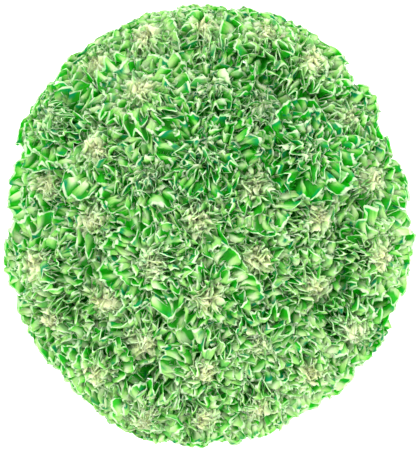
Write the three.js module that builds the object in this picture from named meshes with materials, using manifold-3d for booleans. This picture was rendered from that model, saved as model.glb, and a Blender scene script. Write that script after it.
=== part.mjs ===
// A hand-tied round bouquet of 37 carnations.
//
// The stems cross in a spiral at the twine tie, flare out below it and are cut level, so that the
// bouquet stands on its cut ends. Above the tie they fan out to a dome of blooms that press flat
// against each other. Millimetres, +Z up, origin at the middle of the circle of cut ends.
import * as THREE from "three";
import { mergeVertices } from "three/addons/utils/BufferGeometryUtils.js";
import Module from "manifold-3d";

const wasm = await Module();
wasm.setup();

// ---- Driving dimensions ----------------------------------------------------------------------

const RINGS = [1, 6, 12, 18]; // carnations in each ring, from the middle outwards
const FIRST_LOOSE_RING = 3; // from this ring on, each stem is a piece of its own

const DOME_CENTRE_HEIGHT = 138; // height of the point that all blooms face away from
const DOME_RADIUS = 290; // from that point to the top of a bloom
const BLOOM_SPACING = 55; // along the dome, from one ring of blooms to the next
const DOME_LENGTHENING = 1.2; // the dome is this much longer along Y than along X

const BLOOM_RADIUS = 37; // a bloom that nothing presses on
const BLOOM_DEPTH = 44; // from the mouth of its calyx to its top
const CALYX_LENGTH = 28;
const CALYX_RADIUS = 6.6; // at the mouth
const CALYX_WAIST = 5.4; // halfway down

const STEM_DIAMETER = 5.2;
const NODE_DIAMETER = 7.6; // the swollen joint that a pair of leaves grows from
const TIE_HEIGHT = 165; // height of the tie above the cut ends
const FOOT_RADIUS = 76; // circle of the outermost cut ends

const TWINE_DIAMETER = 2.6;
const TWINE_TURNS = 5;
const KNOT_RADIUS = 4;
const TWINE_END_LENGTH = 18;

const CLEARANCE = 0.4; // between pieces that touch
const STEM_MERGE = 0.93; // inner stems stand this share of a diameter apart, so they join at the tie

// How far a flower strays from its even place.
const STRAY_ANGLE = 0.1; // radians round the dome, in the first ring, and less in the wider ones
const STRAY_TILT = 0.026; // radians up or down the dome
const STRAY_DEPTH = 9; // in or out, along the bloom's axis
const STRAY_SIZE = 0.12; // share of the bloom's radius

// Facets of the round pieces.
const BLOOM_SIDES = 12;
const STEM_SIDES = 6;
const LOOSE_STEM_STEPS = 9;
const INNER_STEM_STEPS = 8;
const JOINTS = [0.28, 0.72]; // where a loose stem's swollen joints are, as shares of its line

const UP = new THREE.Vector3(0, 0, 1);
const LATHE_AXIS = new THREE.Vector3(0, 1, 0); // a LatheGeometry turns about its own Y
const DOME_CENTRE = new THREE.Vector3(0, 0, DOME_CENTRE_HEIGHT);

// ---- Solids ----------------------------------------------------------------------------------

// A closed three.js geometry as a manifold-3d solid, for joins and cuts.
function solid(geometry) {
  const bare = geometry.clone();
  for (const name of ["normal", "uv"]) bare.deleteAttribute(name);
  const merged = mergeVertices(bare, 1e-3);
  return new wasm.Manifold(
    new wasm.Mesh({
      numProp: 3,
      vertProperties: new Float32Array(merged.attributes.position.array),
      triVerts: new Uint32Array(merged.index.array),
    }),
  );
}

// A manifold-3d solid as a three.js geometry.
function geometryOf(made) {
  const { numProp, numVert, vertProperties, triVerts } = made.getMesh();
  const points = new Float32Array(numVert * 3);
  for (let i = 0; i < numVert; i++) {
    points.set(vertProperties.subarray(i * numProp, i * numProp + 3), i * 3);
  }
  const geometry = new THREE.BufferGeometry();
  geometry.setAttribute("position", new THREE.BufferAttribute(points, 3));
  geometry.setIndex(new THREE.BufferAttribute(new Uint32Array(triVerts), 1));
  return geometry;
}

// A profile of [radius, height] pairs turned about the axis through foot along direction.
function turned(profile, sides, foot, direction) {
  const points = profile.map(([radius, height]) => new THREE.Vector2(radius, height));
  const turn = new THREE.Quaternion().setFromUnitVectors(LATHE_AXIS, direction);
  return new THREE.LatheGeometry(points, sides).applyQuaternion(turn).translate(...foot);
}

// A round bar of one diameter along a curve.
function bar(curve, diameter, sides, steps) {
  const corners = Array.from({ length: sides }, (_, i) => {
    const angle = (2 * Math.PI * i) / sides;
    return new THREE.Vector2(Math.cos(angle), Math.sin(angle)).multiplyScalar(diameter / 2);
  });
  return new THREE.ExtrudeGeometry(new THREE.Shape(corners), {
    steps,
    bevelEnabled: false,
    extrudePath: curve,
  });
}

// A block that takes away everything on the far side of the plane through point, facing normal.
function blockBeyond(point, normal) {
  const size = 4 * DOME_RADIUS;
  const turn = new THREE.Quaternion().setFromUnitVectors(UP, normal);
  const middle = point.clone().addScaledVector(normal, size / 2);
  return solid(new THREE.BoxGeometry(size, size, size).applyQuaternion(turn).translate(...middle));
}

// A repeatable number from -1 to 1 for flower n.
function stray(n, kind) {
  const x = Math.sin(n * 12.9898 + kind * 78.233) * 43758.5453;
  return 2 * (x - Math.floor(x)) - 1;
}

// ---- Where each flower goes --------------------------------------------------------------------

// Radius of the circle that a ring of stems makes at the tie.
function tieRadius(ring) {
  if (ring < FIRST_LOOSE_RING) return ring * STEM_MERGE * STEM_DIAMETER;
  const apart = STEM_DIAMETER + CLEARANCE;
  const lean = Math.atan2((FOOT_RADIUS * ring) / (RINGS.length - 1), TIE_HEIGHT);
  const beside = apart / (2 * Math.sin(Math.PI / RINGS[ring]) * Math.cos(lean));
  const outside = tieRadius(ring - 1) + apart;
  return Math.max(beside, outside);
}

// Places flower n, the one at the given place in the given ring: its bloom's top, axis and size,
// and the line of its stem below the tie.
function placeFlower(n, ring, place) {
  const even = (2 * Math.PI * (place + ring / 2)) / RINGS[ring];
  const around = even + (ring ? (STRAY_ANGLE / ring) * stray(n, 1) : 0);
  const tilt = (ring * BLOOM_SPACING) / DOME_RADIUS + STRAY_TILT * stray(n, 2);
  const outwards = new THREE.Vector3(
    Math.sin(tilt) * Math.cos(around),
    Math.sin(tilt) * Math.sin(around) * DOME_LENGTHENING,
    Math.cos(tilt),
  );
  const reach = outwards.length() * (DOME_RADIUS + (ring ? STRAY_DEPTH * stray(n, 3) : 0));
  const axis = outwards.clone().normalize();
  const mouth = DOME_CENTRE.clone().addScaledVector(axis, reach - BLOOM_DEPTH);

  // The stem passes the tie a quarter turn before the bloom's side, and stands half a turn from it.
  const ahead = new THREE.Vector3(Math.cos(even), Math.sin(even), 0);
  const beside = new THREE.Vector3(Math.sin(even), -Math.cos(even), 0);
  const spread = (FOOT_RADIUS * ring) / (RINGS.length - 1);
  const tie = beside.multiplyScalar(tieRadius(ring)).setZ(TIE_HEIGHT);
  const foot = tie.clone().addScaledVector(ahead, -spread).setZ(0);
  const radius = BLOOM_RADIUS * (1 + STRAY_SIZE * stray(n, 4));
  return { n, ring, axis, mouth, tie, foot, radius };
}

const flowers = [];
RINGS.forEach((count, ring) => {
  for (let place = 0; place < count; place++) {
    flowers.push(placeFlower(flowers.length + 1, ring, place));
  }
});

// ---- Pieces ------------------------------------------------------------------------------------

// The mass of petals above the mouth of the calyx, as one closed form.
function bloomSolid({ mouth, axis, radius }) {
  const profile = [
    [0, CLEARANCE],
    [CALYX_RADIUS, CLEARANCE],
    [0.66 * radius, 0.2 * BLOOM_DEPTH],
    [radius, 0.5 * BLOOM_DEPTH],
    [0.9 * radius, 0.76 * BLOOM_DEPTH],
    [0.5 * radius, 0.95 * BLOOM_DEPTH],
    [0, BLOOM_DEPTH],
  ];
  return solid(turned(profile, BLOOM_SIDES, mouth, axis));
}

// Widest level of a bloom, where neighbours press on each other.
function widest({ mouth, axis }) {
  return mouth.clone().addScaledVector(axis, 0.5 * BLOOM_DEPTH);
}

// Flattens a bloom against each neighbour that it reaches.
function pressed(flower) {
  const own = widest(flower);
  let bloom = bloomSolid(flower);
  for (const other of flowers) {
    const apart = widest(other).sub(own);
    const distance = apart.length();
    if (other === flower || distance > flower.radius + other.radius + CLEARANCE) continue;
    const middle = own.clone().addScaledVector(apart, 0.5 - CLEARANCE / 2 / distance);
    bloom = bloom.subtract(blockBeyond(middle, apart.normalize()));
  }
  return bloom;
}

// The stem's line: straight from under the cut up to the tie, then a bend out to the calyx.
function stemLine({ mouth, axis, tie, foot }) {
  const below = foot.clone().sub(tie).normalize();
  const neck = mouth.clone().addScaledVector(axis, -CALYX_LENGTH);
  const handle = 0.4 * neck.distanceTo(tie);
  const line = new THREE.CurvePath();
  line.add(new THREE.LineCurve3(foot.clone().addScaledVector(below, 2 * STEM_DIAMETER), tie));
  line.add(
    new THREE.CubicBezierCurve3(
      tie,
      tie.clone().addScaledVector(below, -handle),
      neck.clone().addScaledVector(axis, -handle),
      neck.clone().addScaledVector(axis, 1),
    ),
  );
  return line;
}

// The green tube that holds the petals, closed at its mouth.
function calyxSolid({ mouth, axis }) {
  const profile = [
    [0, -CALYX_LENGTH],
    [0.62 * CALYX_WAIST, -CALYX_LENGTH],
    [CALYX_WAIST, -0.8 * CALYX_LENGTH],
    [CALYX_WAIST, -0.4 * CALYX_LENGTH],
    [CALYX_RADIUS, 0],
    [0, 0],
  ];
  return solid(turned(profile, STEM_SIDES, mouth, axis));
}

// The swollen joint at the given share of the stem's line.
function nodeSolid(line, share) {
  const at = line.getPointAt(share);
  const along = line.getTangentAt(share);
  const half = NODE_DIAMETER / 2;
  const profile = [
    [0, -half],
    [half, 0],
    [0, half],
  ];
  return solid(turned(profile, STEM_SIDES, at, along));
}

// A whole stem with its calyx, cut level at the foot.
function stemSolid(flower, joints, steps) {
  const line = stemLine(flower);
  let stem = solid(bar(line, STEM_DIAMETER, STEM_SIDES, steps)).add(calyxSolid(flower));
  for (const share of joints) stem = stem.add(nodeSolid(line, share));
  return stem.subtract(blockBeyond(new THREE.Vector3(), UP.clone().negate()));
}

// The turns of twine, side by side round the waist of the stems.
const outerRing = RINGS.length - 1;
const tieHalfHeight = (TWINE_TURNS * TWINE_DIAMETER) / 2;
const stemSpreadAtTie = (FOOT_RADIUS * tieHalfHeight) / TIE_HEIGHT;
const tieInside =
  Math.hypot(tieRadius(outerRing), stemSpreadAtTie) + STEM_DIAMETER / 2 + CLEARANCE;

function tieGeometry() {
  const profile = [[tieInside, -tieHalfHeight]];
  for (let turn = 0; turn < TWINE_TURNS; turn++) {
    const low = -tieHalfHeight + turn * TWINE_DIAMETER;
    profile.push(
      [tieInside + 0.7 * TWINE_DIAMETER, low],
      [tieInside + TWINE_DIAMETER, low + TWINE_DIAMETER / 2],
    );
  }
  profile.push([tieInside + 0.7 * TWINE_DIAMETER, tieHalfHeight]);
  profile.push([tieInside, tieHalfHeight], profile[0]);
  return turned(profile, 24, new THREE.Vector3(0, 0, TIE_HEIGHT), UP);
}

// The knot in front of the turns, with its two short ends.
function knotGeometry() {
  const out = tieInside + TWINE_DIAMETER + CLEARANCE + KNOT_RADIUS;
  const middle = new THREE.Vector3(0, -out, TIE_HEIGHT);
  let knot = solid(new THREE.SphereGeometry(KNOT_RADIUS, 10, 6).translate(...middle));
  for (const side of [-1, 1]) {
    const end = middle
      .clone()
      .add(new THREE.Vector3(side * 0.45, -0.35, -0.82).multiplyScalar(TWINE_END_LENGTH));
    const sag = middle.clone().add(new THREE.Vector3(side * 0.4, -0.5, -0.1).multiplyScalar(8));
    const line = new THREE.QuadraticBezierCurve3(middle, sag, end);
    knot = knot.add(solid(bar(line, TWINE_DIAMETER, 6, 5)));
  }
  return geometryOf(knot);
}

// ---- The bouquet -------------------------------------------------------------------------------

const PETALS = new THREE.MeshStandardMaterial({ color: 0x8fd07a, roughness: 0.75, metalness: 0 });
const STEMS = new THREE.MeshStandardMaterial({ color: 0x6f8f5f, roughness: 0.6, metalness: 0 });
const TWINE = new THREE.MeshStandardMaterial({ color: 0xb08d5b, roughness: 0.9, metalness: 0 });

const bouquet = new THREE.Group();

function addPiece(name, geometry, material) {
  const mesh = new THREE.Mesh(geometry, material);
  mesh.name = name;
  bouquet.add(mesh);
}

const label = (n) => String(n).padStart(2, "0");

for (const flower of flowers) {
  addPiece(`bloom_${label(flower.n)}`, geometryOf(pressed(flower)), PETALS);
}

let innerStems = null;
for (const flower of flowers) {
  if (flower.ring >= FIRST_LOOSE_RING) {
    addPiece(`stem_${label(flower.n)}`, geometryOf(stemSolid(flower, JOINTS, LOOSE_STEM_STEPS)), STEMS);
  } else {
    const stem = stemSolid(flower, [], INNER_STEM_STEPS);
    innerStems = innerStems ? innerStems.add(stem) : stem;
  }
}
addPiece("inner_stems", geometryOf(innerStems), STEMS);
addPiece("twine_tie", tieGeometry(), TWINE);
addPiece("twine_knot", knotGeometry(), TWINE);

export default bouquet;
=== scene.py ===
# A round, hand-tied bouquet of 37 carnations with dyed petals, standing on its cut stem ends.
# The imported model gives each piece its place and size, and this script gives it its looks.
import itertools
import math
import random

import bmesh
import bpy
import numpy as np
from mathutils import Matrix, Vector


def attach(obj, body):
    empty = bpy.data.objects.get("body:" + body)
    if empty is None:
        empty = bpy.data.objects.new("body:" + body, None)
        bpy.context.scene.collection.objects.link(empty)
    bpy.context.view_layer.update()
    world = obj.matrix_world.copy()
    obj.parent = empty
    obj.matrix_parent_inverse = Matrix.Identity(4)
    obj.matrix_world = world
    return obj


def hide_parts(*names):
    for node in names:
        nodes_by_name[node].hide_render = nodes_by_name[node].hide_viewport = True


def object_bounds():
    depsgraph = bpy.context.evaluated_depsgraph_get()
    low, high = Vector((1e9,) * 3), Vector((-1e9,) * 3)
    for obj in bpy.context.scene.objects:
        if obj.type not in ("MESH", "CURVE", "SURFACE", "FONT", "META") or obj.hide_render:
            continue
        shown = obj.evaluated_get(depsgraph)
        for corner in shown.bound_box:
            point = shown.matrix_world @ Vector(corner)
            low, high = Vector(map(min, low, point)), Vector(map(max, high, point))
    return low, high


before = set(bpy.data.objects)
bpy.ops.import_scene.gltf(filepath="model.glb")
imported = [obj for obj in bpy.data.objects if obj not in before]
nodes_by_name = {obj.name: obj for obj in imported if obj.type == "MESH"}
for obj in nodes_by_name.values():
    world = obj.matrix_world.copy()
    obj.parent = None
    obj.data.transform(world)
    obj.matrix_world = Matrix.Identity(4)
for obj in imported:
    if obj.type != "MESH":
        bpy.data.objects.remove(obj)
model_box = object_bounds()
scene = bpy.context.scene
low, high = model_box
middle = (low + high) / 2

# ---- Studio ----------------------------------------------------------------------------------
# A pale floor, a wide lamp above, and light from every side, as in a plain white studio.
# The camera hangs straight above the dome, and +Y is up in its picture.

LIGHT_FROM_ALL_SIDES = 2.6
FLOOR_REACH = 6
FLOOR_WHITE = (0.92, 0.92, 0.92, 1)
CAMERA_ABOVE_TOP = 1.9
WIDEST_BELOW_TOP = 0.1
PICTURE_WIDTH_BY_HEIGHT = 416 / 451
PICTURE_MARGIN = 1.034
SENSOR_HEIGHT = 36


def add_object(name, data):
    made = bpy.data.objects.new(name, data)
    scene.collection.objects.link(made)
    return made


def add_lamp(name, place, power, width):
    lamp = bpy.data.lights.new(name, "AREA")
    lamp.energy = power
    lamp.size = width
    lamp_object = add_object(name, lamp)
    lamp_object.location = place
    lamp_object.rotation_mode = "QUATERNION"
    lamp_object.rotation_quaternion = (middle - Vector(place)).to_track_quat("-Z", "Y")


def new_material(name, roughness):
    """A material, its node tree, and its shader, which still needs a colour."""
    made = bpy.data.materials.new(name)
    made.use_nodes = True
    shader = made.node_tree.nodes["Principled BSDF"]
    shader.inputs["Roughness"].default_value = roughness
    return made, made.node_tree, shader


scene.view_settings.view_transform = "Standard"
world = bpy.data.worlds.new("studio")
world.use_nodes = True
world.node_tree.nodes["Background"].inputs["Color"].default_value = (1, 1, 1, 1)
world.node_tree.nodes["Background"].inputs["Strength"].default_value = LIGHT_FROM_ALL_SIDES
scene.world = world

add_lamp("overhead_lamp", (-0.5, 0.6, 2.0), 13, 0.5)
add_lamp("side_lamp", (1.0, -1.0, 1.0), 8, 0.9)

camera = add_object("camera", bpy.data.cameras.new("camera"))
camera.location = (middle.x, middle.y, high.z + CAMERA_ABOVE_TOP)
camera.data.sensor_fit = "VERTICAL"
camera.data.sensor_height = SENSOR_HEIGHT
seen_height = PICTURE_MARGIN * max(high.y - low.y, (high.x - low.x) / PICTURE_WIDTH_BY_HEIGHT)
camera.data.lens = SENSOR_HEIGHT * (CAMERA_ABOVE_TOP + WIDEST_BELOW_TOP) / seen_height
scene.camera = camera

floor_corners = [(x * FLOOR_REACH, y * FLOOR_REACH, 0) for x, y in ((-1, -1), (1, -1), (1, 1), (-1, 1))]
floor_mesh = bpy.data.meshes.new("floor")
floor_mesh.from_pydata(floor_corners, [], [(0, 1, 2, 3)])
floor_paint, _, floor_shader = new_material("floor_paint", 0.9)
floor_shader.inputs["Base Color"].default_value = FLOOR_WHITE
floor_mesh.materials.append(floor_paint)
floor = add_object("floor", floor_mesh)

# ---- Where the blooms stand ------------------------------------------------------------------
# Each bloom faces away from one point inside the dome. The foot of its solid is the mouth of its
# calyx, apart from the small gap that the solids keep between them.

DOME_CENTRE = Vector((0, 0, 0.138))
MOUTH_GAP = 0.0004
FOOT_DEPTH = 0.002

flowers = []
for name in sorted(n for n in nodes_by_name if n.startswith("bloom_")):
    points = [vertex.co - DOME_CENTRE for vertex in nodes_by_name[name].data.vertices]
    nearest = min(point.length for point in points)
    foot = [point for point in points if point.length < nearest + FOOT_DEPTH]
    axis = (sum(foot, Vector()) / len(foot)).normalized()
    start = min(point.dot(axis) for point in points)
    flowers.append({"name": name, "mouth": DOME_CENTRE + axis * (start - MOUTH_GAP), "axis": axis})

# ---- Petals ----------------------------------------------------------------------------------
# A carnation's petal is a fan on a narrow claw, thinner than paper, with a toothed and ruffled
# margin. Between 42 and 50 grow from the mouth of a calyx: the inner ones stand up, small and
# crumpled, and the outer ones lie open.

PETAL_COLUMNS = 28
PETAL_ROWS = [0, 0.24, 0.43, 0.57, 0.68, 0.77, 0.85, 0.92, 0.97, 1]
GOLDEN_ANGLE = 2.39996
FULL_TURN = 6.28
LEAST_OPENING = 0.08
INNER_WAVES = 6
OUTER_WAVES = 10.5
PLEAT_DRIFT = 7
FINE_FOLDS = 1.6
CLAW_WIDTH = 0.08
CORNER_ROUNDING = 0.3
TEETH_ACROSS = 36
MARGIN_SWING = 0.0022
MARGIN_FLARE = 0.0022
MOUTH_RADIUS = 0.0006
WANDER_SCALE = 72
NOISE_ROUGHNESS = 0.55

BLOOM_INPUTS = {
    "Petal": "Geometry",
    "Petals": "Int",
    "Inner Length": "Float",
    "Outer Length": "Float",
    "Inner Width": "Float",
    "Outer Width": "Float",
    "Openness": "Float",
    "Low Side": "Float",
    "Low Side Lift": "Float",
    "Ruffle": "Float",
    "Crumple": "Float",
    "Tooth": "Float",
    "Flare": "Float",
    "Thickness": "Float",
    "Seed": "Int",
    "Material": "Material",
}


def flat_petal():
    """A petal's front and back as one closed shell, which holds only how far across and along."""
    across = np.linspace(-1, 1, PETAL_COLUMNS + 1)
    last_row = len(PETAL_ROWS) - 1
    points, sides = [], []
    index = {}
    for side in (1, -1):
        for row, v in enumerate(PETAL_ROWS):
            for column, u in enumerate(across):
                edge = row in (0, last_row) or column in (0, PETAL_COLUMNS)
                if side == -1 and edge:
                    index[side, row, column] = index[1, row, column]
                    continue
                index[side, row, column] = len(points)
                points.append((u, v, 0))
                sides.append(0 if edge else side)
    faces = []
    for side in (1, -1):
        for row in range(last_row):
            for column in range(PETAL_COLUMNS):
                corners = [
                    index[side, row, column],
                    index[side, row, column + 1],
                    index[side, row + 1, column + 1],
                    index[side, row + 1, column],
                ]
                faces.append(corners if side == 1 else corners[::-1])
    mesh = bpy.data.meshes.new("petal")
    mesh.from_pydata(points, [], faces)
    mesh.attributes.new("side", "FLOAT", "POINT").data.foreach_set("value", sides)
    spread = np.array([points[loop.vertex_index][:2] for loop in mesh.loops], np.float32)
    spread[:, 0] = spread[:, 0] / 2 + 0.5
    mesh.uv_layers.new(name="petal").data.foreach_set("uv", spread.ravel())
    return mesh


class Field:
    """A value in a node tree that differs from point to point, so that a rule reads as a sum."""

    def __init__(self, tree, socket):
        self.tree, self.socket = tree, socket

    def node(self, kind, inputs, output=0, **settings):
        made = self.tree.nodes.new(kind)
        for key, value in settings.items():
            setattr(made, key, value)
        for key, value in inputs.items():
            if isinstance(value, Field):
                self.tree.links.new(value.socket, made.inputs[key])
            else:
                made.inputs[key].default_value = value
        return Field(self.tree, made.outputs[output])

    def math(self, operation, *others):
        return self.node("ShaderNodeMath", dict(enumerate((self, *others))), operation=operation)

    def __add__(self, other):
        return self.math("ADD", other)

    def __sub__(self, other):
        return self.math("SUBTRACT", other)

    def __mul__(self, other):
        return self.math("MULTIPLY", other)

    def __truediv__(self, other):
        return self.math("DIVIDE", other)

    def __pow__(self, other):
        return self.math("POWER", other)

    def between(self, start, end):
        """0 up to start, 1 from end on, and an even S in between."""
        return self.node(
            "ShaderNodeMapRange",
            {"Value": self, "From Min": start, "From Max": end},
            interpolation_type="SMOOTHSTEP",
        )

    def blend(self, start, end):
        """start where this is 0, end where it is 1."""
        return self * (end - start) + start

    def noise(self, scale, detail, roughness=0.5, output="Fac"):
        """Smooth noise at this place."""
        inputs = {"Vector": self, "Scale": scale, "Detail": detail, "Roughness": roughness}
        return self.node("ShaderNodeTexNoise", inputs, output)

    def keeping(self, name, value, domain="POINT"):
        """This shape, with a value kept on it under a name."""
        inputs = {"Geometry": self, "Name": name, "Value": value}
        return self.node("GeometryNodeStoreNamedAttribute", inputs, domain=domain, data_type="FLOAT")


def vector(x, y, z):
    first = next(f for f in (x, y, z) if isinstance(f, Field))
    return first.node("ShaderNodeCombineXYZ", {0: x, 1: y, 2: z})


def parts(place, count):
    """The first few of a place's x, y and z."""
    return [place.node("ShaderNodeSeparateXYZ", {0: place}, output=i) for i in range(count)]


def new_rule(name, inputs):
    """A geometry tree with named inputs, and a Field for each one."""
    tree = bpy.data.node_groups.new(name, "GeometryNodeTree")
    for label, kind in inputs.items():
        tree.interface.new_socket(label, in_out="INPUT", socket_type="NodeSocket" + kind)
    tree.interface.new_socket("Mesh", in_out="OUTPUT", socket_type="NodeSocketGeometry")
    given = tree.nodes.new("NodeGroupInput").outputs
    return tree, {label: Field(tree, given[label]) for label in inputs}


def end_rule(tree, shape, material):
    """Makes a rule's result real and gives it its material."""
    whole = shape.node("GeometryNodeRealizeInstances", {"Geometry": shape})
    painted = shape.node("GeometryNodeSetMaterial", {"Geometry": whole, "Material": material})
    tree.links.new(painted.socket, tree.nodes.new("NodeGroupOutput").inputs[0])


def grown_mesh(raw, rule, values):
    """The plain mesh that a rule makes of a raw object. The raw object itself is removed."""
    modifier = raw.modifiers.new("rule", "NODES")
    modifier.node_group = rule
    for socket in rule.interface.items_tree:
        if socket.name in values:
            modifier[socket.identifier] = values[socket.name]
    bpy.context.view_layer.update()
    evaluated = raw.evaluated_get(bpy.context.evaluated_depsgraph_get())
    mesh = bpy.data.meshes.new_from_object(evaluated)
    bpy.data.objects.remove(raw)
    mesh.polygons.foreach_set("use_smooth", [True] * len(mesh.polygons))
    return mesh


def bloom_rule():
    """Copies the flat petal for one whole head, and cuts, ruffles, bends and turns each copy."""
    tree, size = new_rule("carnation_bloom", BLOOM_INPUTS)
    node = size["Petal"].node

    # One copy of the flat petal for each number, counted from the middle of the bloom.
    places = node("GeometryNodePoints", {"Count": size["Petals"]})
    copies = node("GeometryNodeInstanceOnPoints", {"Points": places, "Instance": size["Petal"]})
    counted = copies.keeping("petal_number", node("GeometryNodeInputIndex", {}), "INSTANCE")
    petals = node("GeometryNodeRealizeInstances", {"Geometry": counted})

    number = node("GeometryNodeInputNamedAttribute", {"Name": "petal_number"}, data_type="FLOAT")
    side = node("GeometryNodeInputNamedAttribute", {"Name": "side"}, data_type="FLOAT")
    across, along = parts(node("GeometryNodeInputPosition", {}), 2)

    draws = itertools.count(1)

    def chance(least, most):
        """A number of its own for each petal, and another one at each use."""
        inputs = {"ID": number, "Seed": size["Seed"] * 31 + next(draws), 2: least, 3: most}
        return node("FunctionNodeRandomValue", inputs, output=1, data_type="FLOAT")

    # The petal's own sizes. outwards is 0 at the middle of the bloom and 1 at its outside.
    outwards = (number + 0.5) / size["Petals"]
    length = (outwards ** 2).blend(size["Inner Length"], size["Outer Length"]) * chance(0.92, 1.05)
    width = (outwards ** 0.7).blend(size["Inner Width"], size["Outer Width"]) * chance(0.85, 1.1)
    opening = (outwards ** 0.75) * size["Openness"] + chance(-0.26, 0.2) * outwards.blend(0.5, 1.0)
    turn = number * GOLDEN_ANGLE + chance(-0.35, 0.35)
    lowness = (turn - size["Low Side"]).math("COSINE").math("MAXIMUM", 0)
    opening = (opening - lowness * size["Low Side Lift"] * outwards).math("MAXIMUM", LEAST_OPENING)
    waves = outwards.blend(INNER_WAVES, OUTER_WAVES) * chance(0.8, 1.25)
    phase = chance(0, FULL_TURN)
    own = chance(0, 50)

    # The outline: a claw that widens into a fan with round shoulders and a toothed margin.
    half_width = along.between(0.02, 0.9).blend(CLAW_WIDTH, 1.0) * width * 0.5
    corner = (across * across) ** 2 * along * along
    tooth = (vector(across * 9, own, size["Seed"]).noise(1.6, 1.0, NOISE_ROUGHNESS) - 0.5) * 2
    tooth = tooth + (across * TEETH_ACROSS + own).math("SINE") * 0.5
    reach = along * length * (corner * -CORNER_ROUNDING + 1)
    reach = reach + tooth * size["Tooth"] * along.between(0.9, 1.0)
    swing = (across * waves * 0.8 + own).math("SINE") * MARGIN_SWING
    reach = reach + swing * along.between(0.6, 1.0) * outwards

    # The ruffles: pleats that fan out and deepen towards the margin, over a slow crumple.
    bent = (vector(across * 1.3, along * 1.1, own + 7).noise(1.6, 1.0, NOISE_ROUGHNESS) - 0.5) * PLEAT_DRIFT
    pleat = (across * waves + phase + bent + along * chance(-2.5, 2.5)).math("SINE")
    fine = vector(across * 3.2, along * 1.6, own).noise(2.0, 2.0, NOISE_ROUGHNESS) - 0.5
    folds = pleat + fine * FINE_FOLDS
    depth = (along - outwards * 0.12).between(0.28, 0.9)
    cup = (across * across) * chance(-0.002, 0.006) * along
    roll = chance(-0.42, 0.42) * along.between(0.3, 1.0)
    sideways = across * half_width
    lift = folds * size["Ruffle"] * depth + cup + sideways * roll + side * size["Thickness"] * 0.5

    # The bend: each petal leaves the calyx upright, opens along an even curve, then runs straight.
    curved = length * outwards.blend(0.9, 0.42)
    in_curve = reach.math("MINIMUM", curved)
    beyond = reach - in_curve
    angle = opening * in_curve / curved
    ahead = curved / opening
    radial = ahead * (angle.math("COSINE") * -1 + 1) + beyond * angle.math("SINE")
    height = ahead * angle.math("SINE") + beyond * angle.math("COSINE")
    radial = radial - lift * angle.math("COSINE")
    height = height + lift * angle.math("SINE")
    flare = along.between(0.7, 1.04) * size["Flare"] * chance(-1, 0.9) * outwards.between(0, 0.4)
    flare = flare + along.between(0.86, 1.03) * MARGIN_FLARE
    radial = radial + MOUTH_RADIUS + flare
    height = height - flare * 0.6

    # The turn round the calyx, and a last wander that no two places in the head share.
    turned_x = radial * turn.math("COSINE") - sideways * turn.math("SINE")
    turned_y = radial * turn.math("SINE") + sideways * turn.math("COSINE")
    wander = vector(turned_x, turned_y + own * 0.004, height + size["Seed"] * 0.1)
    wander = wander.noise(WANDER_SCALE, 1.0, output="Color")
    wander = node("ShaderNodeVectorMath", {0: wander, 1: (0.5, 0.5, 0.5)}, operation="SUBTRACT")
    amount = size["Crumple"] * 2 * along.between(0.1, 0.8) * outwards.blend(1.2, 0.9)
    wander = node("ShaderNodeVectorMath", {0: wander, "Scale": amount}, operation="SCALE")
    stood = vector(turned_x, turned_y, height)
    final = node("ShaderNodeVectorMath", {0: stood, 1: wander}, operation="ADD")

    # The folds are kept for the deep green of their valleys, which is partly dye and partly painted shade.
    folded = petals.keeping("fold", folds * depth)
    placed = node("GeometryNodeSetPosition", {"Geometry": folded, "Position": final})
    end_rule(tree, placed.keeping("outwards", outwards), size["Material"])
    return tree


def source(tree, kind, output=0, **settings):
    """A Field that reads nothing else, such as a place or an attribute."""
    made = tree.nodes.new(kind)
    for key, value in settings.items():
        setattr(made, key, value)
    return Field(tree, made.outputs[output])


def attribute(tree, name):
    return source(tree, "ShaderNodeAttribute", "Fac", attribute_name=name)


def colour_ramp(value, stops):
    made = value.tree.nodes.new("ShaderNodeValToRGB")
    value.tree.links.new(value.socket, made.inputs[0])
    elements = made.color_ramp.elements
    while len(elements) < len(stops):
        elements.new(0.5)
    for element, (position, colour) in zip(elements, stops):
        element.position = position
        element.color = (*colour, 1)
    return Field(value.tree, made.outputs[0])


def colour_mix(share, first, second):
    first, second = (end if isinstance(end, Field) else (*end, 1) for end in (first, second))
    return share.node("ShaderNodeMix", {0: share, 6: first, 7: second}, output=2, data_type="RGBA")


def paint(shader, colour, height, bump_distance=0.0002, bump_strength=0.4):
    """Gives a shader its colour and a fine bump."""
    tree = colour.tree
    tree.links.new(colour.socket, shader.inputs["Base Color"])
    inputs = {"Strength": bump_strength, "Distance": bump_distance, "Height": height}
    tree.links.new(height.node("ShaderNodeBump", inputs).socket, shader.inputs["Normal"])


# Dyed petal: cream at the claw, green towards the margin, with blue-green marks under a pale rim.
# The deep green deep inside the bunch is painted shade. The deep green in every fold and low on
# each petal is partly the dye and partly painted shade. Light falls through it and comes out
# greener, and greener still where shade is painted.
CREAM = (0.94, 0.93, 0.72)
PALE_GREEN = (0.50, 0.77, 0.26)
LIME = (0.03, 0.50, 0.01)
# Deep green is partly the dye and partly painted shade.
DYE_AND_SHADE_GREEN = (0.0, 0.42, 0.0)
TEAL = (0.003, 0.30, 0.14)
RIM = (0.80, 0.87, 0.66)
HEART = (0.95, 0.94, 0.68)
LIT_THROUGH = (0.02, 0.80, 0.01)
THROUGH_SHARE = 0.6

petal_material, tree, petal_skin = new_material("dyed_petal_and_painted_shade", 0.75)
petal_skin.inputs["Specular IOR Level"].default_value = 0.05
across, along = parts(source(tree, "ShaderNodeUVMap", uv_map="petal"), 2)
petal_number = attribute(tree, "petal_number")
outwards = attribute(tree, "outwards")
fold = attribute(tree, "fold")
painted_shade_depth = attribute(tree, "painted_shade_depth")
bloom_tone = attribute(tree, "bloom_tone")


def streaks(times_across, times_along, offset, detail=2.0):
    """Noise that runs with the petal, and is another on each petal."""
    where = vector(across * times_across, along * times_along, petal_number * 0.37 + offset)
    return where.noise(1.0, detail)


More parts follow.
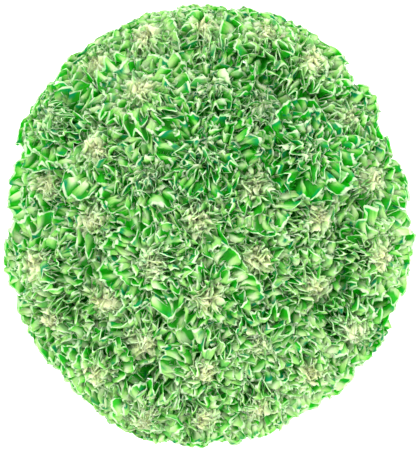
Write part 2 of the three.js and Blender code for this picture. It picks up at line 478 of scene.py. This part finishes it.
veins = streaks(24, 1.2, 3, 3.0)
patches = streaks(3.0, 2.0, 11) - 0.5
# Along the petal: deep green low down, partly dye and partly painted shade deep in the head, then the dye's
# bands out to the margin.
dye_and_shade_edge = along + (veins - 0.5) * 0.14 + patches * 0.3 + (bloom_tone - 0.5) * 0.12
outer_stops = [
    (0.38, DYE_AND_SHADE_GREEN),
    (0.54, LIME),
    (0.64, PALE_GREEN),
    (0.76, CREAM),
    (0.90, PALE_GREEN),
    (0.99, LIME),
]
inner_stops = [(0.72, DYE_AND_SHADE_GREEN), (0.84, LIME), (0.92, PALE_GREEN), (0.99, CREAM)]
body = colour_mix(
    (outwards + patches * 0.5).between(0.35, 0.8),
    colour_ramp(dye_and_shade_edge, inner_stops),
    colour_ramp(dye_and_shade_edge, outer_stops),
)
# Painted shade: deep green where a petal lies deep below the heads' crowns, inside the bunch.
painted_shade_mask = (painted_shade_depth + patches * 0.7).between(0.1, 0.75) * 0.92
body = colour_mix(painted_shade_mask, body, DYE_AND_SHADE_GREEN)
# Deep green in the valleys of the folds: partly the dye, partly painted shade.
fold_dye_and_shade = (fold + patches * 0.8 - (bloom_tone - 0.5) * 0.9).between(0.55, -0.2)
body = colour_mix(fold_dye_and_shade * 0.92, body, DYE_AND_SHADE_GREEN)
heart = (outwards + (streaks(2, 2, 47) - 0.5) * 0.3).between(0.46, 0.16)
heart = heart * (bloom_tone + patches * 0.4).between(0.9, 0.5)
body = colour_mix(heart * 0.9, body, HEART)
teal_share = (along + (veins - 0.5) * 0.1).between(0.84, 0.94)
teal_share = teal_share * (streaks(7, 3.0, 23) + bloom_tone * 0.08).between(0.56, 0.7)
body = colour_mix(teal_share * (heart * -1 + 1), body, TEAL)
rim_share = (along + (streaks(14, 1.0, 31) - 0.5) * 0.03 + outwards * 0.022).between(0.968, 0.986)
# The pale rim fades into the painted shade deep in the bunch.
colour = colour_mix(rim_share * (painted_shade_mask * -0.75 + 1), body, RIM)
paint(petal_skin, colour, veins, 0.0003, 0.35)

# The light through the petal is tinted greener in the painted shade and in the folds.
greener = (painted_shade_mask + fold_dye_and_shade * 0.5) * 0.5 + 0.34 - heart * 0.3
lit_through = colour_mix(greener, colour, LIT_THROUGH)
glow = lit_through.node("ShaderNodeBsdfTranslucent", {"Color": lit_through})
thin = tree.nodes.new("ShaderNodeMixShader")
thin.inputs[0].default_value = THROUGH_SHARE
tree.links.new(petal_skin.outputs[0], thin.inputs[1])
tree.links.new(glow.socket, thin.inputs[2])
tree.links.new(thin.outputs[0], tree.nodes["Material Output"].inputs["Surface"])

# ---- Blooms ----------------------------------------------------------------------------------
# Each head is its own set of petals, grown from the same rule with its own seed. Then it is pressed
# against the heads beside it, and bent back at the bunch's round outline, as in a tight bouquet.

FIRST_OUTER_BLOOM = 19
OUTER_LENGTH = 0.071
OUTER_LENGTH_AT_EDGE = 0.066
LENGTH_SPREAD = 0.03
LIFT_BY_LEAN = 1.5
INNER_DROOP = -0.1
# These differ from head to head: the middle value, and how far a head may be from it.
PETALS = (46, 4)
OPENNESS = (1.4, 0.1)
RUFFLE = (0.0066, 0.0008)
CRUMPLE = (0.0064, 0.001)
PETAL_SIZES = {
    "Inner Length": 0.043,
    "Inner Width": 0.019,
    "Outer Width": 0.040,
    "Tooth": 0.0013,
    "Flare": 0.006,
    "Thickness": 0.0003,
}
PRESS_HEIGHT = 0.022
NEIGHBOUR_REACH = 0.095
PRESS_START = 1.02
PRESS_LIMIT = 1.5
EDGE_START = 0.93
EDGE_GIVE = 0.11
EDGE_WIDER = 1.035
TOP_GIVE = 0.01
# How far inside the outline and how deep under the heads' crowns the painted shade reaches.
INDOORS_DEPTH = 0.2
CROWN_HEIGHT = 0.042
PAINTED_SHADE_REACH = 0.03
DYED_MIDDLE = Vector((0.02, 0.06))
DYED_REACH = 0.2
DYED_FULLY = 1.15
TONE_BY_HEAD = 0.62
TONE_BY_PLACE = 0.38

random_source = random.Random(7)
petal = flat_petal()
petal_rule = bloom_rule()


def scrambled(number, salt):
    """A number that looks random, but is always the same for the same two numbers."""
    return math.sin(number * 12.9898 + salt) * 43758.5453


def pulled_back(distance, start, give):
    """How far to move points past start, so that none comes further than start + give."""
    over = np.maximum(distance - start, 0)
    return give * (1 - np.exp(-over / give)) - over


def petals_of(number, flower):
    """One head's petals as they grow, with the mouth of the calyx at the origin."""
    wander = [random_source.uniform(-1, 1) for _ in range(5)]
    at_edge = number >= FIRST_OUTER_BLOOM
    longest = OUTER_LENGTH_AT_EDGE if at_edge else OUTER_LENGTH
    down = flower["axis"].to_track_quat("Z", "Y").inverted() @ Vector((0, 0, -1))
    values = {
        **PETAL_SIZES,
        "Seed": number + 1,
        "Petals": PETALS[0] + round(PETALS[1] * wander[0]),
        "Openness": OPENNESS[0] + OPENNESS[1] * wander[1],
        "Outer Length": longest * (1 + LENGTH_SPREAD * wander[2]),
        "Ruffle": RUFFLE[0] + RUFFLE[1] * wander[3],
        "Crumple": CRUMPLE[0] + CRUMPLE[1] * wander[4],
        "Low Side": math.atan2(down.y, down.x),
        "Low Side Lift": LIFT_BY_LEAN * (1 - flower["axis"].z) if at_edge else INNER_DROOP,
        "Material": petal_material,
    }
    return grown_mesh(add_object("raw_bloom", petal), petal_rule, values)


def press(points, flower):
    """Pushes petals back where they reach past the plane halfway to a head beside this one."""
    own = np.array(flower["mouth"] + flower["axis"] * PRESS_HEIGHT)
    for other in flowers:
        apart = np.array(other["mouth"] + other["axis"] * PRESS_HEIGHT) - own
        distance = np.linalg.norm(apart)
        if other is flower or distance > NEIGHBOUR_REACH:
            continue
        towards = (points - own) @ (apart / distance)
        start = PRESS_START * distance / 2
        give = PRESS_LIMIT * distance / 2 - start
        points += np.outer(pulled_back(towards, start, give), apart / distance)


def keep_round(points):
    """Bends petals back at the bunch's outline and top, and says how far inside it each one is."""
    centre = np.array(middle.xy)
    bunch = np.array([(high.x - low.x) / 2 * EDGE_WIDER, (high.y - low.y) / 2])
    aside = (points[:, :2] - centre) / bunch
    away = np.maximum(np.linalg.norm(aside, axis=1), 1e-6)
    scale = (away + pulled_back(away, EDGE_START, EDGE_GIVE)) / away
    points[:, :2] = centre + aside * scale[:, None] * bunch
    points[:, 2] += pulled_back(points[:, 2], high.z, TOP_GIVE)
    return np.clip((1 - away) / INDOORS_DEPTH, 0, 1)


def grow_bloom(number, flower):
    mesh = petals_of(number, flower)
    count = len(mesh.vertices)
    grown = np.empty(count * 3, np.float32)
    mesh.vertices.foreach_get("co", grown)
    turn = flower["axis"].to_track_quat("Z", "Y").to_matrix()
    points = grown.reshape(-1, 3) @ np.array(turn).T + np.array(flower["mouth"])
    press(points, flower)
    indoors = keep_round(points)
    mesh.vertices.foreach_set("co", points.astype(np.float32).ravel())

    from_dyed = (flower["mouth"].xy - DYED_MIDDLE).length / DYED_REACH
    tone = TONE_BY_HEAD * (scrambled(number, 4.1) % 1) + TONE_BY_PLACE * max(0, DYED_FULLY - from_dyed)
    mesh.attributes.new("bloom_tone", "FLOAT", "POINT").data.foreach_set("value", [tone] * count)
    # How far each point lies below its head's crown and inside the bunch, for the painted shade.
    crown = (flower["mouth"] - DOME_CENTRE).length + CROWN_HEIGHT
    below = crown - np.linalg.norm(points - np.array(DOME_CENTRE), axis=1)
    painted_shade_depth_share = np.clip(below / PAINTED_SHADE_REACH, 0, 1) * indoors
    mesh.attributes.new("painted_shade_depth", "FLOAT", "POINT").data.foreach_set("value", painted_shade_depth_share)
    mesh.update()
    piece = add_object("petals_of_" + flower["name"], mesh)
    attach(piece, "root")
    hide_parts(flower["name"])


for number, flower in enumerate(flowers):
    grow_bloom(number, flower)

# ---- Stalks ----------------------------------------------------------------------------------
# A carnation's stem is a smooth round rod with a waxy, blue-green skin and a swollen joint where each
# pair of leaves grew. The stems cross in a spiral at the tie, and are cut level below it. Each ends in
# its calyx, a ribbed green tube with five pointed teeth and four small scales round its foot.

RINGS = [1, 6, 12, 18]
FIRST_LOOSE_RING = 3
STEM_DIAMETER = 0.0052
STEM_MERGE = 0.93
CLEARANCE = 0.0004
TIE_HEIGHT = 0.165
FOOT_RADIUS = 0.076
CALYX_LENGTH = 0.028
INTO_CALYX = 0.004
BEND_REACH = 0.4
STEM_STEPS = 64
STEM_SIDES = 12
STEM_RADIUS_AT_FOOT = 0.0024
STEM_TAPER = 0.0003
JOINTS = (0.28, 0.72)
JOINT_SWELLING = 0.5
JOINT_WIDTH = 0.011
LEVEL_CUT_REACH = 0.0016

SWEEP_INPUTS = {
    "Curve": "Geometry",
    "Outline": "Object",
    "Joint Swelling": "Float",
    "First Joint": "Float",
    "Second Joint": "Float",
    "Joint Width": "Float",
    "Twists": "Float",
    "Material": "Material",
}


def tie_radius(ring):
    if ring < FIRST_LOOSE_RING:
        return ring * STEM_MERGE * STEM_DIAMETER
    apart = STEM_DIAMETER + CLEARANCE
    lean = math.atan2(FOOT_RADIUS * ring / (len(RINGS) - 1), TIE_HEIGHT)
    beside = apart / (2 * math.sin(math.pi / RINGS[ring]) * math.cos(lean))
    return max(beside, tie_radius(ring - 1) + apart)


def stem_points(flower, ring, place):
    """The stem's middle line, straight up to the tie and then in one bend to the calyx."""
    even = 2 * math.pi * (place + ring / 2) / RINGS[ring]
    ahead = Vector((math.cos(even), math.sin(even), 0))
    beside = Vector((math.sin(even), -math.cos(even), 0))
    tie = beside * tie_radius(ring) + Vector((0, 0, TIE_HEIGHT))
    foot = tie - ahead * (FOOT_RADIUS * ring / (len(RINGS) - 1))
    foot.z = 0
    neck = flower["mouth"] - flower["axis"] * CALYX_LENGTH
    up = (tie - foot).normalized()
    handle = BEND_REACH * (neck - tie).length
    bend = [tie, tie + up * handle, neck - flower["axis"] * handle, neck + flower["axis"] * INTO_CALYX]
    lower = [foot.lerp(tie, t) for t in np.linspace(0, 1, STEM_STEPS // 3, endpoint=False)]
    upper = []
    for t in np.linspace(0, 1, STEM_STEPS - len(lower)):
        shares = [(1 - t) ** 3, 3 * t * (1 - t) ** 2, 3 * t * t * (1 - t), t ** 3]
        upper.append(sum((point * share for point, share in zip(bend, shares)), Vector()))
    return lower + upper


def curve_object(name, lines, radii=None, cyclic=False):
    """A curve of straight steps, with one spline for each line of points."""
    data = bpy.data.curves.new(name, "CURVE")
    data.dimensions = "3D"
    for line_number, line in enumerate(lines):
        spline = data.splines.new("POLY")
        spline.points.add(len(line) - 1)
        spline.use_cyclic_u = cyclic
        for i, point in enumerate(line):
            spline.points[i].co = (*point, 1)
            spline.points[i].radius = radii[line_number][i] if radii else 1.0
    return add_object(name, data)


def sweep_rule():
    """Carries a closed outline along each line, with a swelling at each joint."""
    tree, size = new_rule("sweep", SWEEP_INPUTS)
    node = size["Curve"].node
    share = node("GeometryNodeSplineParameter", {})
    first, second = (share - size[joint] for joint in ("First Joint", "Second Joint"))
    bulges = []
    for off in (first / size["Joint Width"], second / size["Joint Width"]):
        bulges.append((off * off * -1).math("EXPONENT"))
    swollen = bulges[0] + bulges[1]
    radius = node("GeometryNodeInputRadius", {}) * (swollen * size["Joint Swelling"] + 1)
    twist = share * size["Twists"]
    line = node("GeometryNodeSetCurveTilt", {"Curve": size["Curve"], "Tilt": twist})
    line = line.keeping("lengthwise", share).keeping("joint", swollen)
    outline = node("GeometryNodeObjectInfo", {"Object": size["Outline"]}, output="Geometry")
    inputs = {"Curve": line, "Profile Curve": outline, "Scale": radius, "Fill Caps": True}
    end_rule(tree, node("GeometryNodeCurveToMesh", inputs), size["Material"])
    return tree


carried_outline = sweep_rule()


def swept_mesh(name, lines, radii, outline, material, joints=(0.5, 0.5), swelling=0.0, twists=0.0):
    values = {
        "Outline": outline,
        "Joint Swelling": swelling,
        "First Joint": joints[0],
        "Second Joint": joints[1],
        "Joint Width": JOINT_WIDTH,
        "Twists": twists,
        "Material": material,
    }
    return grown_mesh(curve_object(name, lines, radii), carried_outline, values)


STEM_GREEN = (0.035, 0.10, 0.02)
STEM_WAX = (0.12, 0.20, 0.09)
JOINT_GREEN = (0.14, 0.22, 0.045)
CUT_PITH = (0.55, 0.58, 0.33)

stem_skin, tree, shader = new_material("waxy_stem", 0.45)
place = source(tree, "ShaderNodeTexCoord", "Object")
specks = place.noise(700.0, 2.0)
wax_share = (place.noise(45.0, 3.0) + (specks - 0.5) * 0.5).between(0.38, 0.66)
skin = colour_mix(wax_share, STEM_GREEN, STEM_WAX)
skin = colour_mix(attribute(tree, "joint").between(0.15, 0.9) * 0.8, skin, JOINT_GREEN)
height = parts(place, 3)[2]
paint(shader, colour_mix(height.between(0.0012, 0.0002), skin, CUT_PITH), specks)

corners = np.linspace(0, 2 * math.pi, STEM_SIDES, endpoint=False)
round_outline = curve_object("stem_outline", [[(math.cos(a), math.sin(a), 0) for a in corners]], cyclic=True)

# A calyx's rings from its foot to its teeth and back inside: radius, height above the mouth, and how
# much of a tooth's length stands on the ring.
CALYX_SIDES = 30
CALYX_RINGS = [
    (0.0022, -0.0285, 0),
    (0.0040, -0.0270, 0),
    (0.0050, -0.0240, 0),
    (0.0053, -0.0180, 0),
    (0.0054, -0.0110, 0),
    (0.0059, -0.0040, 0),
    (0.0065, 0.0, 0),
    (0.0071, 0.0005, 0.55),
    (0.0077, 0.001, 1),
    (0.0073, 0.001, 0.93),
    (0.0065, 0.0003, 0.5),
    (0.0058, -0.002, 0),
]
CALYX_TEETH = 5
CALYX_TOOTH_LENGTH = 0.0062
RIB_DEPTH = 0.025
TURN_FROM_CALYX_TO_CALYX = 0.7

# A scale's rows from its foot to its tip: share of its length, and half its width as an angle.
SCALE_ROWS = [(0, 0.5), (0.3, 0.62), (0.65, 0.5), (1, 0.02)]
SCALE_LENGTHS = [0.0082, 0.0068]
SCALE_FOOT = -0.0287
SCALE_FOOT_RADIUS = 0.0034
SCALE_BULGE = 0.0027
SCALE_WALLS = (0.0004, -0.0002)
SCALE_TURN = 0.3


def add_calyx(shape, flower, number):
    """Adds one calyx, a closed shell with an outer and an inner wall, to a bmesh."""
    turn = flower["axis"].to_track_quat("Z", "Y").to_matrix()
    spin = number * TURN_FROM_CALYX_TO_CALYX
    rings = []
    for radius, height, tooth_share in CALYX_RINGS:
        ring = []
        for i in range(CALYX_SIDES):
            around = 2 * math.pi * i / CALYX_SIDES
            rise = CALYX_TOOTH_LENGTH * tooth_share
            rise *= (0.5 + 0.5 * math.cos(CALYX_TEETH * around)) ** 1.3
            out = radius * (1 + RIB_DEPTH * math.cos(3 * CALYX_TEETH * around))
            x, y = out * math.cos(around + spin), out * math.sin(around + spin)
            ring.append(shape.verts.new(flower["mouth"] + turn @ Vector((x, y, height + rise))))
        rings.append(ring)
    for below, above in zip(rings, rings[1:]):
        for i in range(CALYX_SIDES):
            j = (i + 1) % CALYX_SIDES
            shape.faces.new((below[i], below[j], above[j], above[i])).smooth = True
    shape.faces.new(rings[0][::-1]).smooth = True
    shape.faces.new(rings[-1]).smooth = True
    for scale in range(4):
        angle = spin + scale * math.pi / 2 + SCALE_TURN
        add_scale(shape, flower, turn, angle, SCALE_LENGTHS[scale % 2])


def add_scale(shape, flower, turn, angle, length):
    """Adds one small pointed scale that hugs the foot of the calyx."""
    outer, inner = [], []
    for share, half in SCALE_ROWS:
        radius = SCALE_FOOT_RADIUS + SCALE_BULGE * math.sin(min(1, share * 1.4) * math.pi / 2)
        for wall, lift in zip((outer, inner), SCALE_WALLS):
            wall.append([])
            for a in (angle - half, angle, angle + half):
                x, y = (radius + lift) * math.cos(a), (radius + lift) * math.sin(a)
                local = Vector((x, y, SCALE_FOOT + length * share))
                wall[-1].append(shape.verts.new(flower["mouth"] + turn @ local))
    for row in range(3):
        for i in range(2):
            shape.faces.new((outer[row][i], outer[row][i + 1], outer[row + 1][i + 1], outer[row + 1][i]))
            shape.faces.new((inner[row + 1][i], inner[row + 1][i + 1], inner[row][i + 1], inner[row][i]))
        shape.faces.new((outer[row][0], outer[row + 1][0], inner[row + 1][0], inner[row][0]))
        shape.faces.new((outer[row + 1][2], outer[row][2], inner[row][2], inner[row + 1][2]))
    for i in range(2):
        shape.faces.new((inner[0][i], inner[0][i + 1], outer[0][i + 1], outer[0][i]))
        shape.faces.new((outer[3][i], outer[3][i + 1], inner[3][i + 1], inner[3][i]))


CALYX_GREEN = (0.07, 0.17, 0.03)
CALYX_PALE = (0.19, 0.31, 0.09)
calyx_skin, tree, shader = new_material("calyx_skin", 0.5)
place = source(tree, "ShaderNodeTexCoord", "Object")
pale_share = place.noise(90.0, 3.0).between(0.35, 0.7)
paint(shader, colour_mix(pale_share, CALYX_GREEN, CALYX_PALE), place.noise(900.0, 1.0))


def make_stalks(name, members, replaced):
    lines = [points for _, _, points in members]
    radii = [[STEM_RADIUS_AT_FOOT - STEM_TAPER * i / STEM_STEPS for i in range(STEM_STEPS)]] * len(lines)
    mesh = swept_mesh(name, lines, radii, round_outline, stem_skin, JOINTS, JOINT_SWELLING)
    for vertex in mesh.vertices:
        if vertex.co.z < LEVEL_CUT_REACH:
            vertex.co.z = 0.0
    mesh.materials.append(calyx_skin)
    shape = bmesh.new()
    shape.from_mesh(mesh)
    stem_faces = len(shape.faces)
    for number, flower, _ in members:
        add_calyx(shape, flower, number)
    shape.faces.ensure_lookup_table()
    for face in shape.faces[stem_faces:]:
        face.material_index = 1
    shape.to_mesh(mesh)
    shape.free()
    piece = add_object(name, mesh)
    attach(piece, "root")
    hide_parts(replaced)


stems = []
for ring, count in enumerate(RINGS):
    for place_in_ring in range(count):
        number = len(stems)
        stems.append((number, flowers[number], stem_points(flowers[number], ring, place_in_ring)))
inner_count = sum(RINGS[:FIRST_LOOSE_RING])
inner_stems, outer_stems = stems[:inner_count], stems[inner_count:]

make_stalks("inner_stalks", inner_stems, "inner_stems")
for member in outer_stems:
    make_stalks(f"stalk_{member[0] + 1:02d}", [member], f"stem_{member[0] + 1:02d}")
bpy.data.objects.remove(round_outline)

# ---- Leaves ----------------------------------------------------------------------------------
# Carnation leaves are long narrow straps in pairs, grown from the joints, folded along the middle and
# curled back at the tip, with a blue-green wax. Those below the tie have been stripped.

LEAF_WIDTH = 0.0056
LEAF_LENGTH = 0.062
LEAF_LENGTH_SPREAD = 0.012
UPRIGHT_LEAN = 0.45
CURL = 1.35
CURL_SPREAD = 0.5
LEAF_STEPS = 18
LEAF_PAIRS = (0.60, 0.74, 0.86)
CENTRE_REACH = 0.004

leaf_outline = curve_object(
    "leaf_outline",
    [[
        (-1.0, 0.34, 0), (-0.5, 0.08, 0), (0, -0.06, 0), (0.5, 0.08, 0), (1.0, 0.34, 0),
        (0.5, -0.14, 0), (0, -0.30, 0), (-0.5, -0.14, 0),
    ]],
    cyclic=True,
)

LEAF_GREEN = (0.025, 0.08, 0.02)
LEAF_WAX = (0.09, 0.18, 0.09)
LEAF_TIP = (0.22, 0.26, 0.05)
leaf_skin, tree, shader = new_material("waxy_leaf", 0.5)
place = source(tree, "ShaderNodeTexCoord", "Object")
specks = place.noise(600.0, 2.0)
wax_share = (place.noise(60.0, 3.0) + (specks - 0.5) * 0.4).between(0.35, 0.68)
skin = colour_mix(wax_share, LEAF_GREEN, LEAF_WAX)
tip_share = attribute(tree, "lengthwise").between(0.86, 1.0) * 0.7
paint(shader, colour_mix(tip_share, skin, LEAF_TIP), specks)


def leaf_line(points, share, side, leaf):
    """The middle line of one leaf, from a joint of the stem out and over in a curl."""
    wander = [scrambled(leaf, kind * 78.233) % 2 - 1 for kind in (1, 2, 3, 4)]
    step = int(share * (len(points) - 1))
    position = points[step].copy()
    ahead = (points[step + 1] - position).normalized()
    out = Vector((position.x, position.y, 0))
    out = out.normalized() if out.length > CENTRE_REACH else Vector((1, 0, 0))
    beside = ahead.cross(out).normalized()
    away = beside * side * (0.9 + 0.2 * wander[0]) + out * (0.35 + 0.4 * wander[1])
    away.normalize()
    length = LEAF_LENGTH + LEAF_LENGTH_SPREAD * wander[2]
    line = []
    for t in np.linspace(0, 1, LEAF_STEPS + 1):
        line.append(position.copy())
        lean = UPRIGHT_LEAN + (CURL + CURL_SPREAD * wander[3]) * t ** 1.3
        heading = ahead * math.cos(lean) + away * math.sin(lean)
        position = position + heading * length / LEAF_STEPS
    return line


def leaf_radii():
    """Half the leaf's width along it: widest near its middle, and a point at its tip."""
    radii = []
    for t in np.linspace(0, 1, LEAF_STEPS + 1):
        foot = 0.55 + 0.45 * min(1, t / 0.25)
        tip = 1 - max(0, (t - 0.45) / 0.55) ** 1.7 * 0.96
        radii.append(LEAF_WIDTH / 2 * foot * tip)
    return radii


def make_leaves(name, members):
    lines = []
    for number, _, points in members:
        for pair, share in enumerate(LEAF_PAIRS):
            for side in (-1, 1):
                lines.append(leaf_line(points, share, side, number * 7 + pair * 3 + side))
    mesh = swept_mesh(name, lines, [leaf_radii()] * len(lines), leaf_outline, leaf_skin)
    piece = add_object(name, mesh)
    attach(piece, "root")


make_leaves("inner_leaves", inner_stems)
for member in outer_stems:
    make_leaves(f"leaves_{member[0] + 1:02d}", [member])
bpy.data.objects.remove(leaf_outline)

# ---- Twine -----------------------------------------------------------------------------------
# Natural jute twine, two plies twisted together, wound five times round the waist of the stems and
# knotted in front, with two short ends.

TWINE_DIAMETER = 0.0026
TWINE_TURNS = 5
STEPS_PER_TURN = 96
RIPPLE = 0.0002
TWIST_PER_METRE = 2 * math.pi / 0.0085
KNOT_FROM_TIE = 0.0034
KNOT_STEPS = 48
KNOT_HALF_SIZE = (0.0023, 0.0022, 0.0019)
END_LENGTH = 0.018
END_SAG = 0.008
END_STEPS = 18
PLY_SIDES = 16
PLY_WAIST = 0.26
KNOT_TWINE_LENGTH = 0.04

JUTE_DARK = (0.12, 0.065, 0.022)
JUTE = (0.30, 0.19, 0.085)
JUTE_LIGHT = (0.48, 0.35, 0.19)
jute, tree, shader = new_material("jute_fibre", 0.9)
place = source(tree, "ShaderNodeTexCoord", "Object")
fibres = place.noise(900.0, 4.0)
tone = fibres + (place.noise(120.0, 2.0) - 0.5) * 0.5
jute_colour = colour_ramp(tone, [(0.3, JUTE_DARK), (0.48, JUTE), (0.68, JUTE_LIGHT)])
paint(shader, jute_colour, fibres, 0.0006, 0.9)

two_plies = []
for a in np.linspace(0, 2 * math.pi, PLY_SIDES, endpoint=False):
    reach = 1 - PLY_WAIST + PLY_WAIST * math.cos(2 * a)
    two_plies.append((reach * math.cos(a), reach * math.sin(a), 0))
ply_outline = curve_object("ply_outline", [two_plies], cyclic=True)


def make_twine(name, lines, replaced, length):
    radii = [[TWINE_DIAMETER / 2] * len(line) for line in lines]
    mesh = swept_mesh(name, lines, radii, ply_outline, jute, twists=length * TWIST_PER_METRE)
    piece = add_object(name, mesh)
    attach(piece, "root")
    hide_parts(replaced)


tie_points = [vertex.co for vertex in nodes_by_name["twine_tie"].data.vertices]
wound_radius = min(math.hypot(point.x, point.y) for point in tie_points) + TWINE_DIAMETER / 2
winding = []
for i in range(TWINE_TURNS * STEPS_PER_TURN + 1):
    turns = i / STEPS_PER_TURN
    around = -math.pi / 2 + 2 * math.pi * turns
    level = TIE_HEIGHT + (turns / TWINE_TURNS - 0.5) * (TWINE_TURNS - 1) * TWINE_DIAMETER
    radius = wound_radius + RIPPLE * math.sin(7 * around + turns)
    winding.append(Vector((radius * math.cos(around), radius * math.sin(around), level)))
make_twine("twine_turns", [winding], "twine_tie", 2 * math.pi * wound_radius * TWINE_TURNS)

knot_middle = Vector((0, -(wound_radius + TWINE_DIAMETER / 2 + KNOT_FROM_TIE), TIE_HEIGHT))
loop = []
for i in range(KNOT_STEPS + 1):
    a = 2 * math.pi * i / KNOT_STEPS
    across_knot = KNOT_HALF_SIZE[0] * (math.sin(a) + 1.1 * math.sin(2 * a))
    out_of_knot = KNOT_HALF_SIZE[1] * math.sin(3 * a)
    up_knot = KNOT_HALF_SIZE[2] * (math.cos(a) - 1.1 * math.cos(2 * a))
    loop.append(knot_middle + Vector((across_knot, out_of_knot, up_knot)))
ends = []
for side in (-1, 1):
    tip = knot_middle + Vector((side * 0.45, -0.35, -0.82)) * END_LENGTH
    sag = knot_middle + Vector((side * 0.4, -0.5, -0.1)) * END_SAG
    end = []
    for t in np.linspace(0, 1, END_STEPS):
        end.append(knot_middle * (1 - t) ** 2 + sag * 2 * t * (1 - t) + tip * t * t)
    ends.append(end)
make_twine("twine_knot_and_ends", [loop, *ends], "twine_knot", KNOT_TWINE_LENGTH)
bpy.data.objects.remove(ply_outline)
